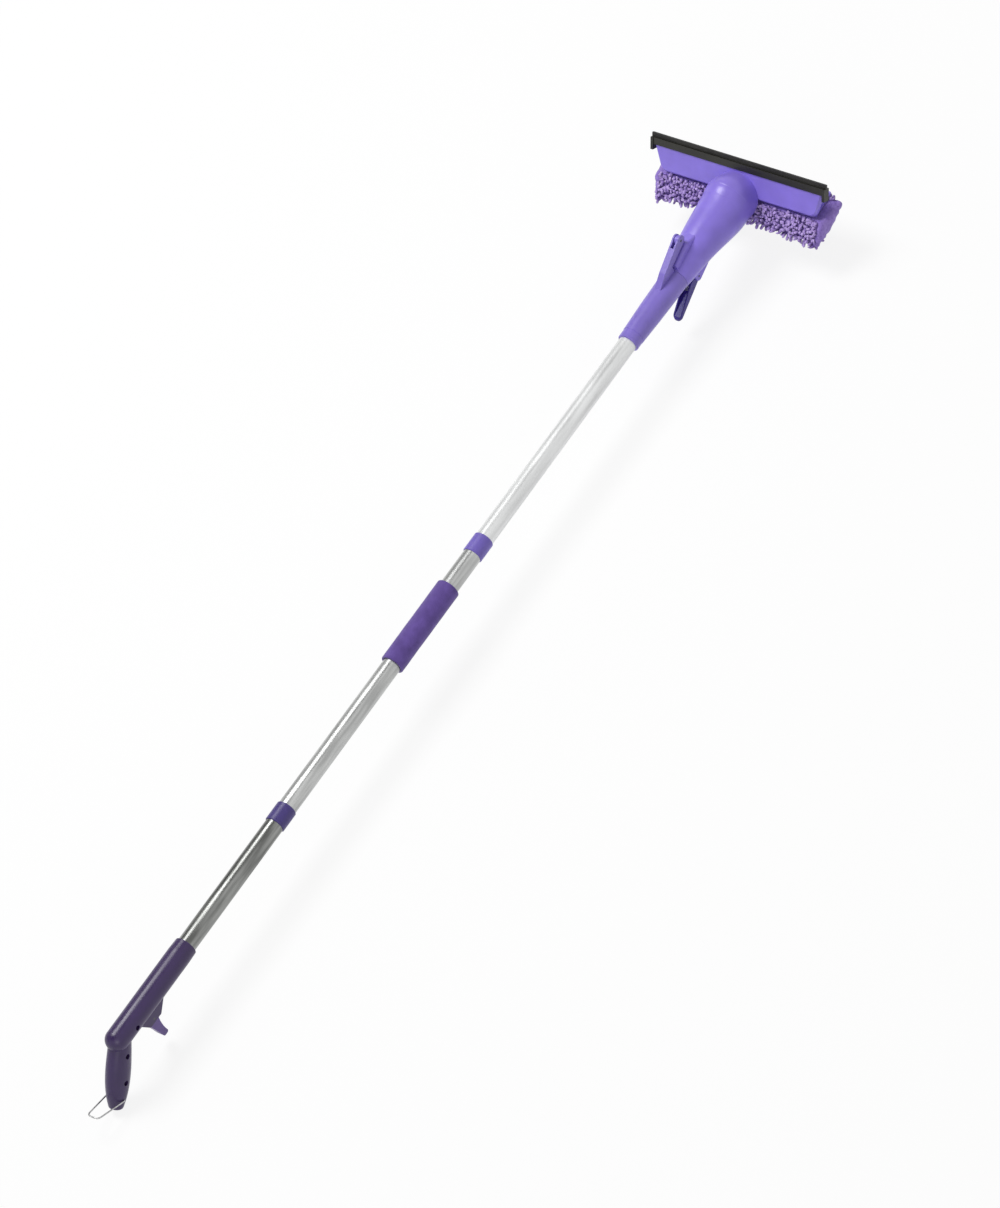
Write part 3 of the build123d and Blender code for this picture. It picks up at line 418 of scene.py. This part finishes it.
screw_steel = cloudy_steel("plated_steel", (0.62, 0.62, 0.63), (0.45, 0.45, 0.46), (0.72, 0.72, 0.73),
                           cloud_size=0.002, wear_size=0.0015, smooth=0.25, rough=0.45,
                           grain_size=0.0004, strength=0.5)
dark_steel = cloudy_steel("dark_pin_steel", (0.1, 0.1, 0.11), (0.05, 0.05, 0.055), (0.16, 0.16, 0.17),
                          cloud_size=0.001, wear_size=0.0012, smooth=0.3, rough=0.5,
                          grain_size=0.0004, strength=0.5)
wire_steel = cloudy_steel("bright_wire", (0.5, 0.5, 0.5), (0.3, 0.3, 0.3), (0.56, 0.56, 0.56),
                          cloud_size=0.003, wear_size=0.004, smooth=0.18, rough=0.34,
                          grain_size=0.0006, strength=0.4)
print("three small metals made")

# %% The black parts
channel_black = new_finish("black_channel", paint(24, 23, 18))
wiping = noise(channel_black, size=0.012, stretch=(0.15, 1, 1))
handling = noise(channel_black, size=0.006, stretch=(0.1, 1, 1))
extrusion_lines = noise(channel_black, size=0.0009, stretch=(0.02, 1, 1))
tint(channel_black, wiping, paint(14, 13, 10), paint(32, 31, 22))
gloss(channel_black, handling, smooth=0.3, rough=0.46)
bump(channel_black, extrusion_lines, height=0.00003, strength=0.6)

rubber_black = new_finish("matt_rubber", paint(24, 23, 22))
dusting = noise(rubber_black, size=0.008, stretch=(0.3, 1, 1), detail=5.0)
tint(rubber_black, dusting, paint(17, 16, 15), paint(40, 39, 36), start=0.42, end=0.75)
gloss(rubber_black, noise(rubber_black, size=0.005), smooth=0.5, rough=0.7)
bump(rubber_black, noise(rubber_black, size=0.0007), height=0.00003, strength=0.5)
print("two blacks made")

# %% Give every hard part its finish
finish_of = {
    head_plastic: ("head_upper_shell", "head_lower_shell", "pad_frame"),
    lever_plastic: ("latch_lever",),
    connector_plastic: ("pole_connector",),
    lower_collar_plastic: ("lower_coupler_socket",),
    upper_collar_plastic: ("upper_coupler_socket",),
    handle_plastic: ("handle_shell_left", "handle_shell_right"),
    lit_trigger_plastic: ("trigger",),
    inner_plastic: ("lower_coupler_stud", "upper_coupler_stud", "tube_plug"),
    lower_metal: ("lower_tube",),
    middle_metal: ("middle_tube",),
    upper_metal: ("upper_tube",),
    screw_steel: ("handle_screws", "head_screws", "frame_screws", "connector_rivet", "release_gate",
                  "gate_spring", "latch_spring"),
    dark_steel: ("trigger_pin", "hinge_pin", "latch_pin"),
    wire_steel: ("hang_loop",),
    channel_black: ("rubber_channel", "channel_cap_left", "channel_cap_right"),
    rubber_black: ("squeegee_rubber",),
}
for finish, names in finish_of.items():
    for name in names:
        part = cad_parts[name]
        part.data.materials.clear()
        part.data.materials.append(finish)
print("finished", sum(len(names) for names in finish_of.values()), "hard parts")

# %% [markdown]
# ## The foam grip
# A sleeve of closed-cell foam is pushed over the middle tube. Foam is cut square and its edges round
# over, and a hand leaves it very slightly uneven. It starts as a cylinder of the sleeve's size. The two
# caps are inset to make the wall, the hole is bridged through, the edges are bevelled, and a fine
# displacement by a cloud texture takes away the machined look.

# %% Helpers for work on one piece
# A face looks squarely along an axis when that part of its normal is over this.
square_on = 0.9


def select_only(piece):
    """Selects the piece alone and makes it the active one."""
    bpy.ops.object.select_all(action="DESELECT")
    piece.select_set(True)
    bpy.context.view_layer.objects.active = piece


def pick_faces(piece, test):
    """Selects the faces whose normal passes the test, and leaves edit mode on."""
    bpy.ops.object.mode_set(mode="EDIT")
    bpy.ops.mesh.select_mode(type="FACE")
    bpy.ops.mesh.select_all(action="DESELECT")
    bpy.ops.object.mode_set(mode="OBJECT")
    for face in piece.data.polygons:
        face.select = test(face.normal)
    bpy.ops.object.mode_set(mode="EDIT")


def place_in_mesh(piece):
    """Moves the piece's place into its mesh, so that its object sits at the origin."""
    select_only(piece)
    bpy.ops.object.transform_apply(location=True, rotation=True, scale=True)


def apply_modifier(piece, kind, **settings):
    """Adds a modifier, sets it and applies it."""
    select_only(piece)
    modifier = piece.modifiers.new(kind.lower(), kind)
    for name, value in settings.items():
        setattr(modifier, name, value)
    bpy.ops.object.modifier_apply(modifier=modifier.name)


# %% Make the sleeve
skin_room = 0.0002
ends_room = 0.0006
foam_hole = 0.0113
foam_edge = 0.0022
foam_sides = 64
edge_steps = 5
corner_angle = math.radians(50)
foam_low, foam_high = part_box("foam_grip")
foam_middle = middle_of("foam_grip")
foam_length = foam_high.y - foam_low.y
foam_radius = (foam_high.x - foam_low.x) / 2 - skin_room
bpy.ops.object.select_all(action="DESELECT")
bpy.ops.mesh.primitive_cylinder_add(vertices=foam_sides, radius=foam_radius,
                                    depth=foam_length - ends_room, location=foam_middle,
                                    rotation=(math.radians(90), 0, 0))
foam = bpy.context.object
foam.name = "foam_sleeve"
place_in_mesh(foam)
pick_faces(foam, lambda normal: abs(normal.y) > square_on)
bpy.ops.mesh.inset(thickness=foam_radius - foam_hole, depth=0)
bpy.ops.mesh.bridge_edge_loops()
bpy.ops.object.mode_set(mode="OBJECT")
apply_modifier(foam, "BEVEL", width=foam_edge, segments=edge_steps, limit_method="ANGLE",
               angle_limit=corner_angle)
print("foam sleeve", round(foam_length * 1000, 1), "mm long,", len(foam.data.polygons), "faces")

# %% [markdown]
# The long faces of the sleeve are cut across with a row of bisections, so that the displacement has
# points to move. Only the outer skin moves, inwards by up to half a millimetre.

# %% Cut the skin across
cuts = 40
select_only(foam)
bpy.ops.object.mode_set(mode="EDIT")
for step in range(1, cuts):
    bpy.ops.mesh.select_all(action="SELECT")
    bpy.ops.mesh.bisect(plane_co=(0, foam_low.y + foam_length * step / cuts, 0), plane_no=(0, 1, 0))
bpy.ops.object.mode_set(mode="OBJECT")
print("skin cut into", cuts, "rings")

# %% Make the skin slightly uneven
bore_room = 0.001
wear_size = 0.02
wear_depth = 0.0005
smooth_angle = math.radians(40)
skin_points = [point.index for point in foam.data.vertices
               if math.hypot(point.co.x - foam_middle.x, point.co.z - foam_middle.z) > foam_hole + bore_room]
outer_skin = foam.vertex_groups.new(name="outer_skin")
outer_skin.add(skin_points, 1.0, "ADD")
hand_wear = bpy.data.textures.new("hand_wear", "CLOUDS")
hand_wear.noise_scale = wear_size
apply_modifier(foam, "DISPLACE", texture=hand_wear, strength=wear_depth, mid_level=1.0,
               vertex_group="outer_skin", texture_coords="LOCAL")
select_only(foam)
bpy.ops.object.shade_smooth_by_angle(angle=smooth_angle)
print("wear moved", len(skin_points), "points")

# %% Foam skin: fine cells, matt, with a faint sheen
foam_skin = new_finish("purple_foam_skin", paint(88, 64, 142), roughness=0.85)
tint(foam_skin, noise(foam_skin, size=0.012, detail=6.0), paint(80, 57, 130), paint(98, 74, 154))
pores = bump(foam_skin, cells(foam_skin, size=0.0011), height=0.00022, strength=0.8)
bump(foam_skin, noise(foam_skin, size=0.0004), height=0.00006, strength=0.5, under=pores)
set_shader(foam_skin, {"Sheen Weight": 0.25, "Sheen Roughness": 0.5})
foam.data.materials.append(foam_skin)
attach(foam, "pole")
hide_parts("foam_grip")
print("foam sleeve stands for foam_grip")

# %% [markdown]
# ## The scrub pad
# The pad is a wedge of sponge in a chenille cover. The cover's pile is a thick coat of soft fingers sewn to
# a backing cloth, and only a narrow hem at each end of the pad is bare. It is made in two steps. First the
# backing: a copy of the hard model's sponge is lengthened to the pad's ends, remeshed, fattened at the
# hems, and blown up as cloth, with its points held close to where they started. The copy drops its
# custom properties and its parent, so that it counts as a new piece. Then the pile: three fingers are
# modelled and copied all over the backing.

# %% Copy the sponge and lengthen it to the hems
pad_end_room = 0.0022
same_point = 0.00001
voxel = 0.004
pad_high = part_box("scrub_cover")[1]
core_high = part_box("sponge_core")[1]
pad_middle = middle_of("scrub_cover")
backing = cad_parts["sponge_core"].copy()
backing.data = backing.data.copy()
for key in list(backing.keys()):
    del backing[key]
backing.parent = None
backing.name = "pad_backing"
backing.data.materials.clear()
bpy.context.scene.collection.objects.link(backing)
select_only(backing)
bpy.ops.object.mode_set(mode="EDIT")
bpy.ops.mesh.select_all(action="SELECT")
bpy.ops.mesh.remove_doubles(threshold=same_point)
bpy.ops.transform.resize(value=((pad_high.x - pad_end_room) / core_high.x, 1, 1),
                         center_override=(0, pad_middle.y, pad_middle.z))
bpy.ops.object.mode_set(mode="OBJECT")
apply_modifier(backing, "REMESH", mode="VOXEL", voxel_size=voxel)
print("backing has", len(backing.data.vertices), "points")

# %% [markdown]
# The hems are the full thickness of the pad, because no pile stands on them, so they swell out to the skin
# of the hard model's cover. Elsewhere the backing draws in where that skin is too near for fingers to fit
# under it. The side that lies on the pad's frame stays flat. Halfway along, the neck presses the cover, so
# the edge nearest the pole bows up a little there, away from it. One move of each point, by its place and
# normal, does it all.

# %% Helpers that read and write a piece's points
def points_of(piece):
    """The piece's points as rows of x, y and z."""
    rows = np.zeros(len(piece.data.vertices) * 3)
    piece.data.vertices.foreach_get("co", rows)
    return rows.reshape(-1, 3)


def normals_of(piece):
    """The normal at each of the piece's points."""
    return np.array([point.normal[:] for point in piece.data.vertices])


def put_points(piece, rows):
    """Writes the rows back as the piece's points."""
    piece.data.vertices.foreach_set("co", np.asarray(rows, float).ravel())
    piece.data.update()


def smooth_step(values, start, end):
    """0 before start, 1 after end, and a smooth rise between them."""
    t = np.clip((values - start) / (end - start), 0, 1)
    return t * t * (3 - 2 * t)


# %% A helper that measures the room under the cover's skin
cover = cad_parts["scrub_cover"]
cover_skin = BVHTree.FromPolygons([point.co for point in cover.data.vertices],
                                  [face.vertices[:] for face in cover.data.polygons])
well_outside = 0.03


def room_above(spot, direction):
    """How far the cover's outer skin is from the spot, along the direction."""
    direction = Vector(direction).normalized()
    far = Vector(spot) + direction * well_outside
    hit = cover_skin.ray_cast(far, -direction)[0]
    return (hit - Vector(spot)).dot(direction) if hit else 0.0


print("the cover's skin has", len(cover.data.polygons), "faces")

# %% Fatten the hems and bow the low edge
hem_width = 0.013
hem_room = 0.0006
most_swell = 0.012
least_room = 0.0062
bow_height = 0.0045
bow_width = 0.06
bow_depth = 0.02
bow_way = np.array([0, 0.8, 0.6])
frame_side = Vector((0, -0.133, 0.991))
flat_start = 0.80
flat_end = 0.93
hem_start = pad_high.x - hem_width
blend_before = 0.005
blend_after = 0.002

resting = points_of(backing)
facing = normals_of(backing)
free = 1 - smooth_step(facing @ np.array(frame_side), flat_start, flat_end)
along = np.abs(resting[:, 0])
at_hem = smooth_step(along, hem_start - blend_before, hem_start + blend_after)
room = np.array([room_above(spot, direction) for spot, direction in zip(resting, facing)])
swell = np.clip(room - hem_room, 0, most_swell) * at_hem
pull = np.minimum(room - least_room, 0) * (1 - at_hem) * free
low_edge = smooth_step(pad_middle.y - resting[:, 1], 0.0, bow_depth)
bow = bow_height * np.exp(-(along / bow_width) ** 2) * low_edge
put_points(backing, resting + facing * (swell + pull)[:, None] + bow_way * bow[:, None])
print("hems swell by up to", round(swell.max() * 1000, 1), "mm")

# %% [markdown]
# The cloth is blown up by a little pressure with no gravity. Each point may move a millimetre and a half
# at most, and not at all on the frame's side.

# %% Blow up the backing
no_move = 1e-9


def blow_up(piece, pressure, frames, cap, hold):
    """Runs cloth on the piece with air inside, and caps how far each point may go. A point stays where
    hold is 1."""
    start = points_of(piece)
    pinned = piece.vertex_groups.new(name="pinned")
    for index, weight in enumerate(hold):
        pinned.add([index], float(weight), "REPLACE")
    modifier = piece.modifiers.new("cloth", "CLOTH")
    settings = modifier.settings
    settings.quality = 5
    settings.mass = 0.15
    settings.tension_stiffness = 10
    settings.compression_stiffness = 10
    settings.bending_stiffness = 2
    settings.use_pressure = True
    settings.uniform_pressure_force = pressure
    settings.vertex_group_mass = "pinned"
    settings.effector_weights.gravity = 0
    modifier.collision_settings.use_collision = False
    for step in range(1, frames + 1):
        bpy.context.scene.frame_set(step)
    select_only(piece)
    bpy.ops.object.modifier_apply(modifier=modifier.name)
    shift = points_of(piece) - start
    far = np.linalg.norm(shift, axis=1)
    shift *= (np.minimum(far, cap) / np.maximum(far, no_move) * (1 - hold))[:, None]
    put_points(piece, start + shift)
    piece.vertex_groups.clear()
    bpy.context.scene.frame_set(1)
    return far


gone = blow_up(backing, pressure=4.0, frames=20, cap=0.0015, hold=1 - free)
print("cloth moved by up to", round(gone.max() * 1000, 1), "mm before the cap")
apply_modifier(backing, "SMOOTH", factor=0.5, iterations=2)
apply_modifier(backing, "SUBSURF", levels=1, render_levels=1)
select_only(backing)
bpy.ops.object.shade_smooth()
print("backing has", len(backing.data.polygons), "faces")

# %% [markdown]
# ### The fingers of the pile
# Each finger is a stub of soft yarn about three and a half millimetres thick. One is a six-sided cylinder
# that is extruded up in three steps, a little wider above its root, and whose tip is drawn in twice, so
# it ends round. Two more are copies whose upper rings lean over, as fingers do where they press on each
# other.

# %% Model one finger
finger_width = 0.0036
finger_reach = 0.0088
finger_steps = 3
finger_sides = 6
root_height = 0.001
root_share = 0.85
belly_share = 1.15
tip_height = finger_width * 0.4
tip_rings = ((0.0010, 0.80), (0.0006, 0.45))


def looks_up(normal):
    """Whether a face with this normal is the finger's top."""
    return normal.z > square_on


bpy.ops.object.select_all(action="DESELECT")
bpy.ops.mesh.primitive_cylinder_add(vertices=finger_sides, radius=finger_width / 2 * root_share,
                                    depth=root_height, end_fill_type="NGON",
                                    location=(0, 0, root_height / 2))
finger = bpy.context.object
finger.name = "finger"
place_in_mesh(finger)
pick_faces(finger, lambda normal: normal.z < -square_on)
bpy.ops.mesh.delete(type="ONLY_FACE")
bpy.ops.object.mode_set(mode="OBJECT")
rise = (finger_reach - root_height - tip_height) / finger_steps
for step in range(finger_steps):
    pick_faces(finger, looks_up)
    bpy.ops.mesh.extrude_region_move(TRANSFORM_OT_translate={"value": (0, 0, rise)})
    if step == 0:
        bpy.ops.transform.resize(value=(belly_share, belly_share, 1))
    bpy.ops.object.mode_set(mode="OBJECT")
for lift, draw_in in tip_rings:
    pick_faces(finger, looks_up)
    bpy.ops.mesh.extrude_region_move(TRANSFORM_OT_translate={"value": (0, 0, lift)})
    bpy.ops.transform.resize(value=(draw_in, draw_in, 1))
    bpy.ops.object.mode_set(mode="OBJECT")
print("one finger has", len(finger.data.polygons), "faces")


# %% Bend two copies
def leaned(piece, name, lean):
    """A copy of the finger whose rings lean over more and more towards its tip."""
    late_bend = 1.3
    shortening = 0.16
    sideways = 0.5
    droop = 0.12
    other = piece.copy()
    other.data = piece.data.copy()
    other.name = name
    bpy.context.scene.collection.objects.link(other)
    rows = points_of(other)
    angle = lean * (rows[:, 2] / finger_reach) ** late_bend
    height = rows[:, 2] * (1 - shortening * angle ** 2)
    rows[:, 0] = rows[:, 0] * np.cos(angle) + rows[:, 2] * angle * sideways
    rows[:, 2] = height - rows[:, 0] * np.sin(angle) * droop
    put_points(other, rows)
    return other


fingers = [finger, leaned(finger, "finger_leaning", lean=0.7), leaned(finger, "finger_bent", lean=1.15)]
print("three fingers made")

# %% [markdown]
# The roots of the fingers are spread over the backing by dart throwing: random points are tried, and one
# is kept if no other root is too near and the cover's skin leaves it room. A fixed seed gives the same
# pile each time. No finger stands on a hem or on the frame's side.

# %% Try many points, spread evenly over the backing
tries = 60000
seed = 11
no_area = 1e-15
chance = np.random.default_rng(seed)
backing.data.calc_loop_triangles()
corners = points_of(backing)
triangles = np.array([triangle.vertices[:] for triangle in backing.data.loop_triangles])
a, b, c = (corners[triangles[:, k]] for k in range(3))
cross = np.cross(b - a, c - a)
areas = np.linalg.norm(cross, axis=1) / 2
flat_normals = cross / np.maximum(2 * areas, no_area)[:, None]
chosen = chance.choice(len(triangles), size=tries, p=areas / areas.sum())
mix = chance.random((tries, 2))
mix = np.where(mix.sum(axis=1, keepdims=True) > 1, 1 - mix, mix)
tried = a[chosen] + (b - a)[chosen] * mix[:, :1] + (c - a)[chosen] * mix[:, 1:]
tried_normals = flat_normals[chosen]
print("backing is", round(areas.sum() * 1e4), "square centimetres")

# %% Keep the points that have room
root_gap = 0.0029
end_facing = 0.6
frame_facing = 0.9
least_reach = 0.0024
shortest_finger = 0.0045
longest_finger = 0.009
allowed = (np.abs(tried_normals[:, 0]) < end_facing) & (np.abs(tried[:, 0]) < hem_start)
allowed &= tried_normals @ np.array(frame_side) < frame_facing
grid = {}
roots = []
reaches = []
for index in np.flatnonzero(allowed):
    spot = tried[index]
    cell = tuple((spot // root_gap).astype(int))
    near = [other for dx in (-1, 0, 1) for dy in (-1, 0, 1) for dz in (-1, 0, 1)
            for other in grid.get((cell[0] + dx, cell[1] + dy, cell[2] + dz), ())]
    if all(np.linalg.norm(tried[other] - spot) > root_gap for other in near):
        reach = room_above(spot, tried_normals[index])
        if reach > least_reach:
            grid.setdefault(cell, []).append(index)
            roots.append(index)
            reaches.append(min(max(reach, shortest_finger), longest_finger))
print("pile has", len(roots), "fingers")

# %% [markdown]
# Every finger is a copy of one of the three, turned about its own axis at random, tipped a little, and
# about as long as the room under the cover's skin. All the copies go into one mesh. Two attributes go
# with them, for the material: each finger's own tint, and how high a point is on its finger.

# %% Place every finger
root_depth = 0.0012
tipping = 0.22
width_range = (0.85, 1.15)
length_range = (0.9, 1.1)
finger_points = [points_of(piece) for piece in fingers]
finger_faces = [tuple(face.vertices[:]) for face in finger.data.polygons]
all_points = []
all_faces = []
tints = []
heights = []
for index, reach in zip(roots, reaches):
    kind = chance.integers(len(fingers))
    normal = tried_normals[index] + chance.normal(0, tipping, 3)
    normal /= np.linalg.norm(normal)
    side = np.cross(normal, chance.normal(0, 1, 3))
    side /= np.linalg.norm(side)
    turn = np.column_stack((side, np.cross(normal, side), normal))
    width = chance.uniform(*width_range)
    length = (reach + root_depth) / finger_reach * chance.uniform(*length_range)
    rows = (finger_points[kind] * (width, width, length)) @ turn.T + tried[index] - normal * root_depth
    start = len(all_points) * len(finger_points[0])
    all_points.append(rows)
    all_faces.extend(tuple(start + corner for corner in face) for face in finger_faces)
    tints.append(np.full(len(rows), chance.random()))
    heights.append(finger_points[0][:, 2] / finger_reach)
print("placed", len(all_points), "fingers with", len(all_faces), "faces")

# %% Make them one mesh
pile_mesh = bpy.data.meshes.new("pad_pile")
pile_mesh.from_pydata(np.concatenate(all_points).tolist(), [], all_faces)
for name, values in (("finger_tint", tints), ("finger_height", heights)):
    attribute = pile_mesh.attributes.new(name, "FLOAT", "POINT")
    attribute.data.foreach_set("value", np.concatenate(values).astype(np.float32))
pile = bpy.data.objects.new("pad_pile", pile_mesh)
bpy.context.scene.collection.objects.link(pile)
select_only(pile)
bpy.ops.object.mode_set(mode="EDIT")
bpy.ops.mesh.select_all(action="SELECT")
bpy.ops.mesh.normals_make_consistent(inside=False)
bpy.ops.object.mode_set(mode="OBJECT")
bpy.ops.object.shade_smooth()
for piece in fingers:
    bpy.data.objects.remove(piece)
print("pile has", sum(len(face.vertices) - 2 for face in pile_mesh.polygons), "triangles")

# %% [markdown]
# ### Chenille and backing cloth
# The yarn is a dusty mauve, a little redder than the plastic. Little light gets in between the fingers, and
# the colour also rises from a middle tone at the root to a pale one at the tip, which is painted shade down
# between them. Each finger has its own tint, and a sheen gives the fuzzy edge of chenille. The hem is plain
# brushed cloth, smoother than the pile.

# %% The pile's finish
fuzzy_sheen = {"Sheen Weight": 0.35, "Sheen Roughness": 0.4, "Specular IOR Level": 0.2}
white = paint(255, 255, 255)


def attribute_of(finish, name):
    """A number that the mesh carries at each of its points."""
    node = finish.node_tree.nodes.new("ShaderNodeAttribute")
    node.attribute_name = name
    return node.outputs["Fac"]


def multiplied(finish, first, second):
    """One colour multiplied by another."""
    tree = finish.node_tree
    node = tree.nodes.new("ShaderNodeMix")
    node.data_type = "RGBA"
    node.blend_type = "MULTIPLY"
    node.inputs[0].default_value = 1.0
    tree.links.new(first, node.inputs[6])
    tree.links.new(second, node.inputs[7])
    return node.outputs[2]


chenille = new_finish("mauve_chenille", paint(138, 108, 178), roughness=0.9)
height_on_finger = attribute_of(chenille, "finger_height")
own_tint = attribute_of(chenille, "finger_tint")
fuzz = noise(chenille, size=0.0006, detail=4.0)
# The rise from root to tip is painted shade between the fingers.
painted_shade_root_to_tip = colour_ramp(chenille, height_on_finger, paint(120, 92, 166), paint(206, 184, 240),
                          start=0.25, end=0.9)
finger_shade = colour_ramp(chenille, own_tint, paint(214, 204, 226), white, start=0.0, end=1.0)
fuzz_shade = colour_ramp(chenille, fuzz, paint(225, 218, 232), white, start=0.35, end=0.6)
set_colour(chenille, multiplied(chenille, multiplied(chenille, painted_shade_root_to_tip, finger_shade), fuzz_shade))
bump(chenille, fuzz, height=0.0004, strength=0.9)
set_shader(chenille, fuzzy_sheen)
pile.data.materials.append(chenille)
print("pile has its chenille")

# %% The backing cloth's finish
hem_cloth = new_finish("brushed_hem_cloth", paint(142, 116, 194), roughness=0.85)
tint(hem_cloth, noise(hem_cloth, size=0.004, detail=6.0), paint(128, 104, 182), paint(158, 134, 210))
nap = bump(hem_cloth, cells(hem_cloth, size=0.0012), height=0.0003, strength=0.7)
bump(hem_cloth, noise(hem_cloth, size=0.0005, detail=4.0), height=0.0002, strength=0.7, under=nap)
set_shader(hem_cloth, fuzzy_sheen)
backing.data.materials.append(hem_cloth)
print("backing has its cloth")

# %% Say what the pad's pieces are
for piece in (backing, pile):
    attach(piece, "head")
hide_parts("scrub_cover")
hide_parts("sponge_core")
print("pad stands for scrub_cover and sponge_core")

# %% [markdown]
# ## The end
# Only fabric may stand a little proud of the hard model's box.

# %% Deselect everything
bpy.ops.object.select_all(action="DESELECT")
